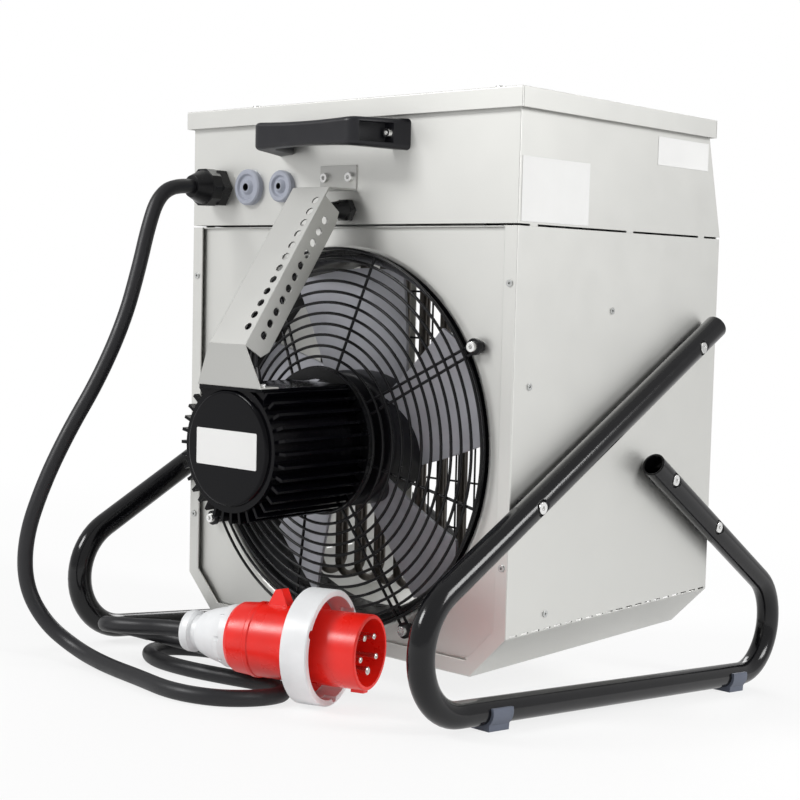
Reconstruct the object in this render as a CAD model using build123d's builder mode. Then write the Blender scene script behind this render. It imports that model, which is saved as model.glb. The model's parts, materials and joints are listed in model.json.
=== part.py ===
"""Portable forced air heater: a stainless casing on a black tubular stand, with a fan and its motor
at the back, hairpin heating elements inside, and a mains cord that ends in a red five pin plug.

Two frames are used. The casing frame has X to the right, Y from the fan face (0) to the outlet and
Z up from the casing's bottom. The floor frame has the same X, the floor at Z 0, and holds the
casing pitched up at its outlet. All sizes are in millimetres.
"""

import os
from math import atan2, cos, degrees, hypot, pi, radians, sin, tan

from build123d import *

os.makedirs("parts", exist_ok=True)

# Driving dimensions of the casing
WIDTH = 450
DEPTH = 364
SEAM = 429
TOP = 555
SHEET = 1.5
SEAM_GAP = 2
CHAMFER_X = 42
CHAMFER_Z = 43
RIM = 15
LID_DEPTH = 340
LID_OVERHANG = 6
LID_FLANGE = 19
PANEL_TOP_Y = 330

# How the casing stands over the floor
PITCH = 6
LIFT = 33
MIDDLE_Y = 156.33

# Fan and motor
FAN_Z = 213
BLADE_TIP = 175
HUB_R = 70
BLADES = 5
MOTOR_CORE = 62
FIN_TIP = 73
FIN_PITCH = 10
BOX_TOP = 272
MOTOR_BACK = -150
SHAFT_R = 9.5
RUNNING = 0.05

# Stand: one bent tube on each side, from a long front arm to a short rear arm
TUBE_R = 12.5
TUBE_BORE = 10.5
LOOP_X = 240
FLOOR_RUN = 16.5
FRONT_BEND = 60
FRONT_BEND_Y = -84.5
FRONT_RISE = 33.3
FRONT_ARM = 499
FRONT_SCREWS = (139, 452)
REAR_BEND = 57
REAR_BEND_Y = 424
REAR_RISE = 26.5
REAR_ARM = 278
REAR_SCREWS = (135.5, 245.5)

# Cord and plug
CORD_R = 7.75
PLUG_CENTRE = (100, -121, 55)
PLUG_AXIS = Vector(0.957, 0.281, 0.042).normalized()

CASING = Location((0, -MIDDLE_Y, LIFT), (PITCH, 0, 0))
FLOOR = Location((0, -MIDDLE_Y, 0))


def keep(name, piece, place=CASING):
    """Stands a finished piece in the object's own frame and writes it."""
    solid = place * piece.part
    solid.label = name
    export_step(solid, f"parts/{name}.step")


def across(y):
    """Plane that faces the fan side at depth y, with sketch X and Y along X and Z."""
    return Plane.XZ.offset(-y)


def side_plane(x):
    """Plane that faces +X, with sketch X and Y along Y and Z."""
    return Plane.YZ.offset(x)


def front_arm(distance):
    """Point (Y, Z) of the floor frame on the front arm, from the end of the front bend."""
    rise = radians(FRONT_RISE)
    bend_y = FRONT_BEND_Y - FRONT_BEND * sin(rise)
    bend_z = FLOOR_RUN + FRONT_BEND + FRONT_BEND * cos(rise)
    return (bend_y + distance * cos(rise), bend_z + distance * sin(rise))


def rear_arm(distance):
    """Point (Y, Z) of the floor frame on the rear arm, from the end of the rear bend."""
    rise = radians(REAR_RISE)
    bend_y = REAR_BEND_Y + REAR_BEND * sin(rise)
    bend_z = FLOOR_RUN + REAR_BEND + REAR_BEND * cos(rise)
    return (bend_y - distance * cos(rise), bend_z + distance * sin(rise))


def on_casing(spot):
    """A floor frame point (Y, Z) in the casing frame."""
    y, z = spot
    pitch = radians(PITCH)
    return (y * cos(pitch) + (z - LIFT) * sin(pitch), (z - LIFT) * cos(pitch) - y * sin(pitch))


TUBE_SCREWS = [front_arm(d) for d in FRONT_SCREWS] + [rear_arm(d) for d in REAR_SCREWS]
STAND_SCREWS = [on_casing(spot) for spot in TUBE_SCREWS]
STAND_SCREW_R = 3


# Casing shells


def casing_corners(inset, top):
    """Corners of the casing's outline, moved in by an even inset."""
    lean = atan2(CHAMFER_Z, CHAMFER_X)
    side = WIDTH / 2 - inset
    side_low = CHAMFER_Z + inset * tan((pi / 2 - lean) / 2)
    bottom = WIDTH / 2 - CHAMFER_X - inset * tan(lean / 2)
    left = [(-side, top), (-side, side_low), (-bottom, inset)]
    right = [(bottom, inset), (side, side_low), (side, top)]
    return left + right


BEND_R = 2.5
INNER_BEND_R = 1
RIM_BEND_R = 1.2


def casing_outline(inset, top, bend, y):
    """The casing's outline at depth y, with rounded bends."""
    with BuildSketch(across(y)) as outline:
        Polygon(*casing_corners(inset, top), align=None)
        fillet(outline.vertices().sort_by(Axis.Y)[:4], radius=bend)
    return outline.sketch


BEND_SLOT = 12
BEND_SLOT_WIDTH = 1.6
BEND_SLOT_PITCH = 18
BEND_SLOTS = 20
RIVET_R = 3.4
RIVET_HEAD = 1.2
RIVET_SHANK = 2
RIVET_HOLLOW = 1.3
SIDE_RIVETS = [(24.3, 279.7), (158.6, 350.7), (60.5, 59.3)]
RIM_RIVET_X = 217.5
RIM_RIVETS_Z = (110, 376)

with BuildPart() as lower_casing:
    extrude(casing_outline(0, SEAM, BEND_R, 0), amount=-DEPTH)
    rims = lower_casing.faces().filter_by(Axis.Y).edges()
    fillet(rims.filter_by(lambda edge: edge.center().Z < SEAM - 1), radius=RIM_BEND_R)
    hollow = casing_outline(SHEET, SEAM + SHEET, INNER_BEND_R, SHEET)
    extrude(hollow, amount=2 * SHEET - DEPTH, mode=Mode.SUBTRACT)
    opening = casing_outline(RIM, SEAM + SHEET, INNER_BEND_R, 0)
    extrude(opening, amount=-DEPTH, mode=Mode.SUBTRACT)
    for ledge_side in (-1, 1):
        ledge_x = ledge_side * (WIDTH / 2 - RIM / 2 - SHEET / 2)
        with Locations((ledge_x, DEPTH / 2, SEAM - 1.5 * SHEET - 0.1)):
            Box(RIM - SHEET, DEPTH - 30, SHEET)
    with BuildSketch(side_plane(0)):
        with Locations((DEPTH / 2, CHAMFER_Z + BEND_SLOT_WIDTH)):
            with GridLocations(BEND_SLOT_PITCH, 1, BEND_SLOTS, 1):
                SlotOverall(BEND_SLOT, BEND_SLOT_WIDTH)
    extrude(amount=WIDTH, both=True, mode=Mode.SUBTRACT)
    with BuildSketch(side_plane(0)):
        with Locations(*STAND_SCREWS):
            Circle(STAND_SCREW_R + 0.2)
        with Locations(*SIDE_RIVETS):
            Circle(RIVET_SHANK)
    extrude(amount=WIDTH, both=True, mode=Mode.SUBTRACT)
    with BuildSketch(across(0)):
        for rivet_z in RIM_RIVETS_Z:
            with Locations((-RIM_RIVET_X, rivet_z), (RIM_RIVET_X, rivet_z)):
                Circle(RIVET_SHANK)
    extrude(amount=-SHEET, mode=Mode.SUBTRACT)
keep("lower_casing", lower_casing)

with BuildPart() as casing_rivets:
    for rivet_side in (-1, 1):
        with BuildSketch(side_plane(rivet_side * WIDTH / 2)):
            with Locations(*SIDE_RIVETS):
                Circle(RIVET_R)
        extrude(amount=rivet_side * RIVET_HEAD)
        with BuildSketch(side_plane(rivet_side * WIDTH / 2)):
            with Locations(*SIDE_RIVETS):
                Circle(RIVET_SHANK)
        extrude(amount=-rivet_side * 4)
        with BuildSketch(side_plane(rivet_side * (WIDTH / 2 + RIVET_HEAD))):
            with Locations(*SIDE_RIVETS):
                Circle(RIVET_HOLLOW)
        extrude(amount=-rivet_side * 2, mode=Mode.SUBTRACT)
    for rivet_z in RIM_RIVETS_Z:
        rim_spots = [(-RIM_RIVET_X, rivet_z), (RIM_RIVET_X, rivet_z)]
        with BuildSketch(across(0)):
            with Locations(*rim_spots):
                Circle(RIVET_R)
        extrude(amount=RIVET_HEAD)
        with BuildSketch(across(0)):
            with Locations(*rim_spots):
                Circle(RIVET_SHANK)
        extrude(amount=-4)
        with BuildSketch(across(-RIVET_HEAD)):
            with Locations(*rim_spots):
                Circle(RIVET_HOLLOW)
        extrude(amount=-2, mode=Mode.SUBTRACT)
keep("casing_rivets", casing_rivets)

PLATE_Y = 5
OPENING_R = 192
CURL_R = 6
GUARD_ANGLES = [29.6 + 90 * turn for turn in range(4)]
STANDOFF_R = 208


def around_fan(radius, angle):
    """Point (X, Z) at a radius and an angle about the fan's axis."""
    return (radius * cos(radians(angle)), FAN_Z + radius * sin(radians(angle)))


with BuildPart() as fan_plate:
    with BuildSketch(across(PLATE_Y)):
        Polygon(*casing_corners(SHEET + 0.2, SEAM - SHEET - 0.2), align=None)
        with Locations((0, FAN_Z)):
            Circle(OPENING_R + CURL_R, mode=Mode.SUBTRACT)
    extrude(amount=-SHEET)
    with BuildSketch(side_plane(0)):
        curl = (PLATE_Y + CURL_R, FAN_Z + OPENING_R + CURL_R)
        with Locations(curl):
            Circle(CURL_R)
            Circle(CURL_R - SHEET, mode=Mode.SUBTRACT)
        with Locations((curl[0] + CURL_R, curl[1])):
            Rectangle(2 * CURL_R, 3 * CURL_R, mode=Mode.SUBTRACT)
        with Locations((curl[0], curl[1] + CURL_R)):
            Rectangle(3 * CURL_R, 2 * CURL_R, mode=Mode.SUBTRACT)
    revolve(axis=Axis((0, 0, FAN_Z), (0, 1, 0)))
    with BuildSketch(across(0)):
        with Locations(*[around_fan(STANDOFF_R, angle) for angle in GUARD_ANGLES]):
            Circle(2.1)
    extrude(amount=-20, mode=Mode.SUBTRACT)
keep("fan_plate", fan_plate)

NOZZLE_R = 181
NOZZLE_WALL = 2
MOUTH_R = 17
MOUTH_Y = 19.5
MOUTH_ANGLE = 36
NOZZLE_END = 72
NOZZLE_FLANGE_Y = PLATE_Y + CURL_R + 0.1


def mouth_point(radius, angle):
    """Point (Y, Z) on an arc of the nozzle's rounded mouth."""
    centre_z = FAN_Z + NOZZLE_R + MOUTH_R
    return (MOUTH_Y - radius * cos(radians(angle)), centre_z - radius * sin(radians(angle)))


with BuildPart() as nozzle_ring:
    with BuildSketch(side_plane(0)):
        with BuildLine():
            inner = MOUTH_R
            outer = MOUTH_R - NOZZLE_WALL
            middle = (MOUTH_ANGLE + 90) / 2
            inner_end = mouth_point(inner, MOUTH_ANGLE)
            outer_end = mouth_point(outer, MOUTH_ANGLE)
            throat = FAN_Z + NOZZLE_R
            ThreePointArc(inner_end, mouth_point(inner, middle), (MOUTH_Y, throat))
            Polyline(
                (MOUTH_Y, throat),
                (NOZZLE_END, throat),
                (NOZZLE_END, throat + NOZZLE_WALL),
                (MOUTH_Y, throat + NOZZLE_WALL),
            )
            ThreePointArc((MOUTH_Y, throat + NOZZLE_WALL), mouth_point(outer, middle), outer_end)
            Line(outer_end, inner_end)
        make_face()
    revolve(axis=Axis((0, 0, FAN_Z), (0, 1, 0)))
    with BuildSketch(across(NOZZLE_FLANGE_Y)):
        with Locations((0, FAN_Z)):
            Circle(STANDOFF_R - 3)
            Circle(NOZZLE_R + 3.5, mode=Mode.SUBTRACT)
    extrude(amount=-NOZZLE_WALL)
keep("nozzle_ring", nozzle_ring)

# Upper section with its control panel, and the lid

UPPER_LOW = SEAM + SEAM_GAP
UPPER_TOP = TOP - SHEET
TAB_LENGTH = 12
TABS_Y = (24.5, 186, 325)
GLAND_X = -183
ENTRY_Z = 471
GROMMETS = [("grommet_large", -133, 19, 3.75), ("grommet_small", -83, 16.5, 3)]
GROMMET_NECK = 12
GLAND_NECK = 16
CABLE_EXIT = (10, 445)
SMALL_GLAND_NECK = 8
DUCT_SCREWS_X = (-20.5, 13.7)
DUCT_SCREW_Z = 478
HANDLE_Z = 517.5
HANDLE_SPOTS = [(-79, HANDLE_Z), (79, HANDLE_Z)]
PANEL_LEAN = degrees(atan2(DEPTH - PANEL_TOP_Y, UPPER_TOP - UPPER_LOW))
PANEL_HEIGHT = hypot(DEPTH - PANEL_TOP_Y, UPPER_TOP - UPPER_LOW)
PANEL_OUT = Vector(0, cos(radians(PANEL_LEAN)), sin(radians(PANEL_LEAN)))
PANEL = Plane(origin=(0, DEPTH, UPPER_LOW), x_dir=(-1, 0, 0), z_dir=PANEL_OUT)
PANEL_GAP = 0.2
KNOB_V = 62
SELECTOR_U = 110
THERMOSTAT_U = 20
RESET_U = -70
SPINDLE_R = 3
PANEL_HOLE_R = 5

with BuildPart() as upper_section:
    with BuildSketch(side_plane(-WIDTH / 2)):
        Polygon(
            (0, UPPER_LOW),
            (DEPTH, UPPER_LOW),
            (PANEL_TOP_Y, UPPER_TOP),
            (0, UPPER_TOP),
            align=None,
        )
    extrude(amount=WIDTH)
    fillet(upper_section.edges().filter_by(Axis.Z), radius=RIM_BEND_R)
    with Locations((0, SHEET + DEPTH / 2, (SEAM + TOP) / 2)):
        Box(WIDTH - 2 * SHEET, DEPTH, TOP - SEAM + 10, mode=Mode.SUBTRACT)
    for tab_side in (-1, 1):
        for tab_y in TABS_Y:
            with Locations((tab_side * (WIDTH - SHEET) / 2, tab_y, SEAM + SEAM_GAP / 2)):
                Box(SHEET, TAB_LENGTH, SEAM_GAP)
    with BuildSketch(across(0)):
        with Locations((GLAND_X, ENTRY_Z)):
            Circle(GLAND_NECK)
        for _, grommet_x, _, _ in GROMMETS:
            with Locations((grommet_x, ENTRY_Z)):
                Circle(GROMMET_NECK)
        with Locations(CABLE_EXIT):
            Circle(SMALL_GLAND_NECK)
        with Locations(*[(x, DUCT_SCREW_Z) for x in DUCT_SCREWS_X]):
            Circle(2.1)
        with Locations(*HANDLE_SPOTS):
            Circle(3.1)
    extrude(amount=-SHEET, mode=Mode.SUBTRACT)
keep("upper_section", upper_section)

PARTITION_GAP = 0.2
PARTITION_LIP = 9
LIP_Y = DEPTH - 5
ELEMENTS = 12
ELEMENT_PITCH = 30
ELEMENT_R = 4.25
ELEMENT_ROWS = (150, 191)
ELEMENT_LOW = 32
ELEMENT_TOP = SEAM + 7
BUSH_R = 7.5
ELEMENT_X = [ELEMENT_PITCH * (n - (ELEMENTS - 1) / 2) for n in range(ELEMENTS)]
LEGS = [(x, y) for x in ELEMENT_X for y in ELEMENT_ROWS]

with BuildPart() as partition_plate:
    with Locations((0, DEPTH / 2, SEAM - SHEET / 2)):
        Box(WIDTH - 2 * SHEET - 2 * PARTITION_GAP, DEPTH - 2 * SHEET - 2 * PARTITION_GAP, SHEET)
    with Locations((0, LIP_Y, SEAM - SHEET + PARTITION_LIP / 2)):
        Box(WIDTH - 2 * SHEET - 2 * PARTITION_GAP, SHEET, PARTITION_LIP)
    with BuildSketch(Plane.XY.offset(SEAM)):
        with Locations(*LEGS):
            Circle(ELEMENT_R)
    extrude(amount=-SHEET, mode=Mode.SUBTRACT)
keep("partition_plate", partition_plate)

LID_SCREWS = [(-150, 24), (182, 24), (-150, 310), (182, 310)]
LID_SCREW_R = 2.5
LID_SLIT = 0.6

with BuildPart() as lid:
    lid_y = (LID_DEPTH - LID_OVERHANG) / 2
    with Locations((0, lid_y, TOP - LID_FLANGE / 2)):
        Box(WIDTH + 2 * LID_OVERHANG, LID_DEPTH + LID_OVERHANG, LID_FLANGE)
    fillet(lid.edges().filter_by(Axis.Z), radius=RIM_BEND_R)
    fillet(lid.edges().group_by(Axis.Z)[-1], radius=RIM_BEND_R)
    inside = 2 * (LID_OVERHANG - SHEET)
    with Locations((0, lid_y, TOP - SHEET - LID_FLANGE / 2)):
        Box(WIDTH + inside, LID_DEPTH + LID_OVERHANG - 2 * SHEET, LID_FLANGE, mode=Mode.SUBTRACT)
    with BuildSketch(Plane.XY.offset(TOP)):
        with Locations(*LID_SCREWS):
            Circle(LID_SCREW_R)
    extrude(amount=-SHEET, mode=Mode.SUBTRACT)
    slit_y = (LID_DEPTH + LID_OVERHANG) / 2 - SHEET - LID_SLIT / 2
    for slit_x in (-WIDTH / 2 - LID_OVERHANG, WIDTH / 2 + LID_OVERHANG):
        for slit_side in (-1, 1):
            with Locations((slit_x, lid_y + slit_side * slit_y, TOP - LID_FLANGE / 2 - RIM_BEND_R)):
                Box(3 * SHEET, LID_SLIT, LID_FLANGE, mode=Mode.SUBTRACT)
keep("lid", lid)


def pan_head(radius, height, spots, plane, socket=2.2):
    """Rounded screw heads with a socket, standing on a plane."""
    with BuildSketch(plane) as head:
        with Locations(*spots):
            Circle(radius)
    extrude(head.sketch, amount=height, taper=8)
    with BuildSketch(plane.offset(height)) as recess:
        with Locations(*spots):
            RegularPolygon(socket, 6)
    extrude(recess.sketch, amount=-height * 0.6, mode=Mode.SUBTRACT)


def shanks(radius, length, spots, plane):
    """Screw shanks that run back from a plane."""
    with BuildSketch(plane) as shank:
        with Locations(*spots):
            Circle(radius)
    extrude(shank.sketch, amount=-length)


with BuildPart() as lid_screws:
    lid_top = Plane.XY.offset(TOP)
    with BuildSketch(lid_top):
        with Locations(*LID_SCREWS):
            Circle(8)
    extrude(amount=1)
    with BuildSketch(lid_top.offset(1)):
        with Locations(*LID_SCREWS):
            Circle(6)
    extrude(amount=4, taper=15)
    shanks(LID_SCREW_R, 12, LID_SCREWS, lid_top)
keep("lid_screws", lid_screws)

with BuildPart() as control_panel:
    with BuildSketch(PANEL):
        with Locations((0, PANEL_HEIGHT / 2 - 1)):
            Rectangle(WIDTH - 2 * SHEET - 2 * PANEL_GAP, PANEL_HEIGHT - 4)
        with Locations((SELECTOR_U, KNOB_V), (THERMOSTAT_U, KNOB_V)):
            Circle(PANEL_HOLE_R, mode=Mode.SUBTRACT)
        with Locations((RESET_U, KNOB_V)):
            Circle(9, mode=Mode.SUBTRACT)
    extrude(amount=-SHEET)
keep("control_panel", control_panel)

KNOB_R = 21
KNOB_HEIGHT = 17
KNOB_STANDOFF = 1
SPINDLE_DEPTH = 22
SWITCH_FACE = PANEL.offset(-SHEET)


def panel_box(u, width, height, depth):
    """Body of a switch behind the panel, with a running bore for its spindle."""
    with BuildSketch(SWITCH_FACE) as body:
        with Locations((u, KNOB_V)):
            RectangleRounded(width, height, 3)
            Circle(SPINDLE_R + RUNNING, mode=Mode.SUBTRACT)
    extrude(body.sketch, amount=-depth)


with BuildPart() as selector_switch:
    panel_box(SELECTOR_U, 46, 46, 60)
keep("selector_switch", selector_switch)

with BuildPart() as thermostat:
    panel_box(THERMOSTAT_U, 42, 36, 40)
keep("thermostat", thermostat)


def knob(u):
    """A skirted knob with a raised pointer and its spindle."""
    seat = PANEL.offset(KNOB_STANDOFF)
    with BuildSketch(seat) as skirt:
        with Locations((u, KNOB_V)):
            Circle(KNOB_R)
    extrude(skirt.sketch, amount=5, taper=5)
    with BuildSketch(seat.offset(5)) as grip:
        with Locations((u, KNOB_V)):
            Circle(KNOB_R - 4)
    extrude(grip.sketch, amount=KNOB_HEIGHT - 5, taper=6)
    with BuildSketch(seat.offset(KNOB_HEIGHT)) as pointer:
        with Locations((u, KNOB_V + KNOB_R / 2 - 3)):
            Rectangle(3, KNOB_R - 6)
    extrude(pointer.sketch, amount=1.2)
    with BuildSketch(seat) as spindle:
        with Locations((u, KNOB_V)):
            Circle(SPINDLE_R)
    extrude(spindle.sketch, amount=-SPINDLE_DEPTH)


with BuildPart() as selector_knob:
    knob(SELECTOR_U)
keep("selector_knob", selector_knob)

with BuildPart() as thermostat_knob:
    knob(THERMOSTAT_U)
keep("thermostat_knob", thermostat_knob)

BUTTON_R = 5
BUTTON_PROUD = 6

with BuildPart() as overheat_cutout:
    with BuildSketch(PANEL.offset(-30)):
        with Locations((RESET_U, KNOB_V)):
            Circle(14)
    extrude(amount=28.5)
    with BuildSketch(PANEL.offset(-SHEET)):
        with Locations((RESET_U, KNOB_V)):
            Circle(9)
    extrude(amount=SHEET + 1)
    with BuildSketch(PANEL.offset(1)):
        with Locations((RESET_U, KNOB_V)):
            RegularPolygon(13, 6)
    extrude(amount=3)
    with BuildSketch(PANEL.offset(4)):
        with Locations((RESET_U, KNOB_V)):
            Circle(BUTTON_R + RUNNING)
    extrude(amount=-20, mode=Mode.SUBTRACT)
keep("overheat_cutout", overheat_cutout)

with BuildPart() as reset_button:
    with BuildSketch(PANEL.offset(BUTTON_PROUD + 2)):
        with Locations((RESET_U, KNOB_V)):
            Circle(BUTTON_R)
    extrude(amount=-18)
    fillet(reset_button.edges().filter_by(GeomType.CIRCLE).sort_by(Axis.Y)[-1], radius=1)
keep("reset_button", reset_button)

# Handle, cable entries and the cable duct

HANDLE_LOW = 501.5
HANDLE_TOP = 533
HANDLE_DIP = 3.5
HANDLE_RISE = 4.5
HANDLE_DEPTH = 59
HANDLE_FOOT = 92
HANDLE_FRONT = 68
GRIP_THICKNESS = 16
HANDLE_SEAT = 17
POCKET_HALF = 9.5

with BuildPart() as handle:
    with BuildSketch(Plane.XY.offset(HANDLE_LOW - 1)) as handle_plan:
        Polygon(
            (-HANDLE_FOOT, 0),
            (-HANDLE_FRONT, -HANDLE_DEPTH),
            (HANDLE_FRONT, -HANDLE_DEPTH),
            (HANDLE_FOOT, 0),
            align=None,
        )
        fillet(handle_plan.vertices().sort_by(Axis.Y)[:2], radius=14)
    extrude(amount=HANDLE_TOP - HANDLE_LOW + 2)
    with BuildSketch(across(1)):
        with BuildLine():
            Line((-HANDLE_FOOT - 1, HANDLE_LOW), (-HANDLE_FOOT - 1, HANDLE_TOP))
            ThreePointArc(
                (-HANDLE_FOOT - 1, HANDLE_TOP),
                (0, HANDLE_TOP - HANDLE_DIP),
                (HANDLE_FOOT + 1, HANDLE_TOP),
            )
            Line((HANDLE_FOOT + 1, HANDLE_TOP), (HANDLE_FOOT + 1, HANDLE_LOW))
            ThreePointArc(
                (HANDLE_FOOT + 1, HANDLE_LOW),
                (0, HANDLE_LOW + HANDLE_RISE),
                (-HANDLE_FOOT - 1, HANDLE_LOW),
            )
        make_face()
    extrude(amount=HANDLE_DEPTH + 3, mode=Mode.INTERSECT)
    fillet(handle.edges().filter_by(lambda edge: edge.center().Y < -2), radius=4.5)
    with BuildSketch(Plane.XY.offset(HANDLE_LOW - 2)) as hand_gap:
        Polygon(
            (-HANDLE_FOOT + 23, 3),
            (-HANDLE_FRONT + 16, GRIP_THICKNESS - HANDLE_DEPTH),
            (HANDLE_FRONT - 16, GRIP_THICKNESS - HANDLE_DEPTH),
            (HANDLE_FOOT - 23, 3),
            align=None,
        )
        fillet(hand_gap.vertices().sort_by(Axis.Y)[:2], radius=7)
    extrude(amount=HANDLE_TOP - HANDLE_LOW + 4, mode=Mode.SUBTRACT)
    gap_rims = handle.edges().filter_by(
        lambda edge: -45 < edge.center().Y < -2
        and abs(edge.center().X) < 70
        and abs(edge.center().Z - HANDLE_Z) > 8
    )
    fillet(gap_rims, radius=3)
    for pocket_side in (-1, 1):
        with BuildSketch(Plane.XY.offset(HANDLE_Z - POCKET_HALF)) as pocket:
            Polygon(
                (pocket_side * 60, 8 - HANDLE_DEPTH),
                (pocket_side * 110, 8 - HANDLE_DEPTH),
                (pocket_side * 110, -HANDLE_SEAT),
                (pocket_side * 73, -HANDLE_SEAT),
                align=None,
            )
            fillet(pocket.vertices().sort_by(lambda corner: abs(corner.X))[:1], radius=7)
        extrude(amount=2 * POCKET_HALF, mode=Mode.SUBTRACT)
    with BuildSketch(across(0)):
        with Locations(*HANDLE_SPOTS):
            Circle(3)
    extrude(amount=HANDLE_SEAT + 1, mode=Mode.SUBTRACT)
keep("handle", handle)

with BuildPart() as handle_screws:
    pan_head(5, 4.5, HANDLE_SPOTS, across(-HANDLE_SEAT))
    shanks(3, HANDLE_SEAT + 12, HANDLE_SPOTS, across(-HANDLE_SEAT))
keep("handle_screws", handle_screws)

GLAND_HEX = 21.5
GLAND_BODY = 12
GLAND_LENGTH = 40
SMALL_GLAND_LENGTH = 26

with BuildPart() as cable_gland:
    with BuildSketch(across(0)):
        with Locations((GLAND_X, ENTRY_Z)):
            RegularPolygon(GLAND_HEX, 6)
    extrude(amount=GLAND_BODY)
    shanks(GLAND_NECK, 9, [(GLAND_X, ENTRY_Z)], across(0))
    with BuildSketch(across(SHEET)):
        with Locations((GLAND_X, ENTRY_Z)):
            RegularPolygon(GLAND_HEX, 6)
    extrude(amount=-6)
keep("cable_gland", cable_gland)

with BuildPart() as gland_nut:
    with BuildSketch(across(-GLAND_BODY)):
        with Locations((GLAND_X, ENTRY_Z)):
            RegularPolygon(20.5, 10)
    extrude(amount=13)
    with BuildSketch(across(-GLAND_BODY - 13)):
        with Locations((GLAND_X, ENTRY_Z)):
            Circle(18.5)
    extrude(amount=GLAND_LENGTH - GLAND_BODY - 13, taper=24)
keep("gland_nut", gland_nut)

for grommet_name, grommet_x, grommet_r, hole_r in GROMMETS:
    grommet_side = Plane(origin=(grommet_x, 0, ENTRY_Z), x_dir=(1, 0, 0), z_dir=(0, 0, 1))
    with BuildPart() as grommet:
        with BuildSketch(grommet_side) as grommet_profile:
            Polygon(
                (hole_r, SHEET + 3),
                (GROMMET_NECK + 2, SHEET + 3),
                (GROMMET_NECK + 2, SHEET),
                (GROMMET_NECK, SHEET),
                (GROMMET_NECK, 0),
                (grommet_r, 0),
                (grommet_r, -5.5),
                (grommet_r - 1.5, -7),
                (grommet_r - 5, -7),
                (grommet_r - 6.5, -4.5),
                (hole_r + 4.5, -4.5),
                (hole_r + 1.5, -8),
                (hole_r, -8),
                align=None,
            )
        revolve(axis=Axis((grommet_x, 0, ENTRY_Z), (0, 1, 0)))
    keep(grommet_name, grommet)

DUCT_LEFT = -28
DUCT_RIGHT = 22
SHELF_Z = 466
SHELF_Y = -40
WEB_END = (-149, 311.5)
WEB_LENGTH = hypot(WEB_END[0] - SHELF_Y, WEB_END[1] - SHELF_Z)
WEB_DOWN = ((WEB_END[0] - SHELF_Y) / WEB_LENGTH, (WEB_END[1] - SHELF_Z) / WEB_LENGTH)
WEB_IN = (-WEB_DOWN[1], WEB_DOWN[0])
DUCT_HOLE_R = 4
DUCT_HOLE_PITCH = 13.7
DUCT_HOLES = 11
FIRST_HOLE = 30
FOOT_END = -126
DUCT_FOOT_SCREWS = [(-32, -137), (34, -137)]


def web_point(down, inward):
    """Point (Y, Z) measured down the duct's sloping web and in from it."""
    y = SHELF_Y + WEB_DOWN[0] * down + WEB_IN[0] * inward
    z = SHELF_Z + WEB_DOWN[1] * down + WEB_IN[1] * inward
    return (y, z)


with BuildPart() as cable_duct:
    with BuildSketch(side_plane(DUCT_LEFT)):
        Polygon((-SHEET, SHELF_Z), (0, SHELF_Z), (0, 490), (-SHEET, 490), align=None)
        Polygon(
            (SHELF_Y, SHELF_Z),
            (0, SHELF_Z),
            (0, SHELF_Z - SHEET),
            (SHELF_Y, SHELF_Z - SHEET),
            align=None,
        )
        Polygon(
            web_point(0, 0),
            web_point(0, SHEET),
            web_point(WEB_LENGTH, SHEET),
            web_point(WEB_LENGTH, 0),
            align=None,
        )
    extrude(amount=DUCT_RIGHT - DUCT_LEFT)
    for flange_x in (DUCT_LEFT, DUCT_RIGHT - SHEET):
        with BuildSketch(side_plane(flange_x)):
            Polygon(
                web_point(10, 0.5),
                web_point(11, 26),
                web_point(24, 30),
                web_point(176, 30),
                web_point(186, 24),
                web_point(188, 0.5),
                align=None,
            )
        extrude(amount=SHEET)
    with BuildSketch(side_plane(DUCT_RIGHT)):
        with Locations(*[web_point(FIRST_HOLE + DUCT_HOLE_PITCH * n, 15) for n in range(DUCT_HOLES)]):
            Circle(DUCT_HOLE_R)
    extrude(amount=-2 * SHEET, mode=Mode.SUBTRACT)
    web_face = Plane(
        origin=(DUCT_RIGHT - 9, SHELF_Y, SHELF_Z),
        x_dir=(1, 0, 0),
        z_dir=(0, -WEB_IN[0], -WEB_IN[1]),
    )
    with BuildSketch(web_face):
        with Locations(*[(0, -FIRST_HOLE - DUCT_HOLE_PITCH * n) for n in range(-1, DUCT_HOLES)]):
            Circle(DUCT_HOLE_R)
    extrude(amount=-2 * SHEET, mode=Mode.SUBTRACT)
    with BuildSketch(across(WEB_END[0])):
        Polygon(
            (DUCT_LEFT, WEB_END[1] + 1),
            (DUCT_RIGHT, WEB_END[1] + 1),
            (45, BOX_TOP),
            (-43, BOX_TOP),
            align=None,
        )
    extrude(amount=-SHEET)
    with Locations((1, (WEB_END[0] + FOOT_END) / 2, BOX_TOP + SHEET / 2)):
        Box(88, FOOT_END - WEB_END[0], SHEET)
    with BuildSketch(across(0)):
        with Locations(*[(x, DUCT_SCREW_Z) for x in DUCT_SCREWS_X]):
            Circle(2.1)
    extrude(amount=2 * SHEET, mode=Mode.SUBTRACT)
    with BuildSketch(Plane.XY.offset(BOX_TOP)):
        with Locations(*DUCT_FOOT_SCREWS):
            Circle(2.1)
    extrude(amount=2 * SHEET, mode=Mode.SUBTRACT)
keep("cable_duct", cable_duct)

with BuildPart() as duct_screws:
    tab_spots = [(x, DUCT_SCREW_Z) for x in DUCT_SCREWS_X]
    pan_head(5.2, 4, tab_spots, across(-SHEET))
    shanks(2, 12, tab_spots, across(-SHEET))
    pan_head(4, 2.5, DUCT_FOOT_SCREWS, Plane.XY.offset(BOX_TOP + SHEET), socket=1.6)
    shanks(2, 4, DUCT_FOOT_SCREWS, Plane.XY.offset(BOX_TOP + SHEET))
keep("duct_screws", duct_screws)


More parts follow.
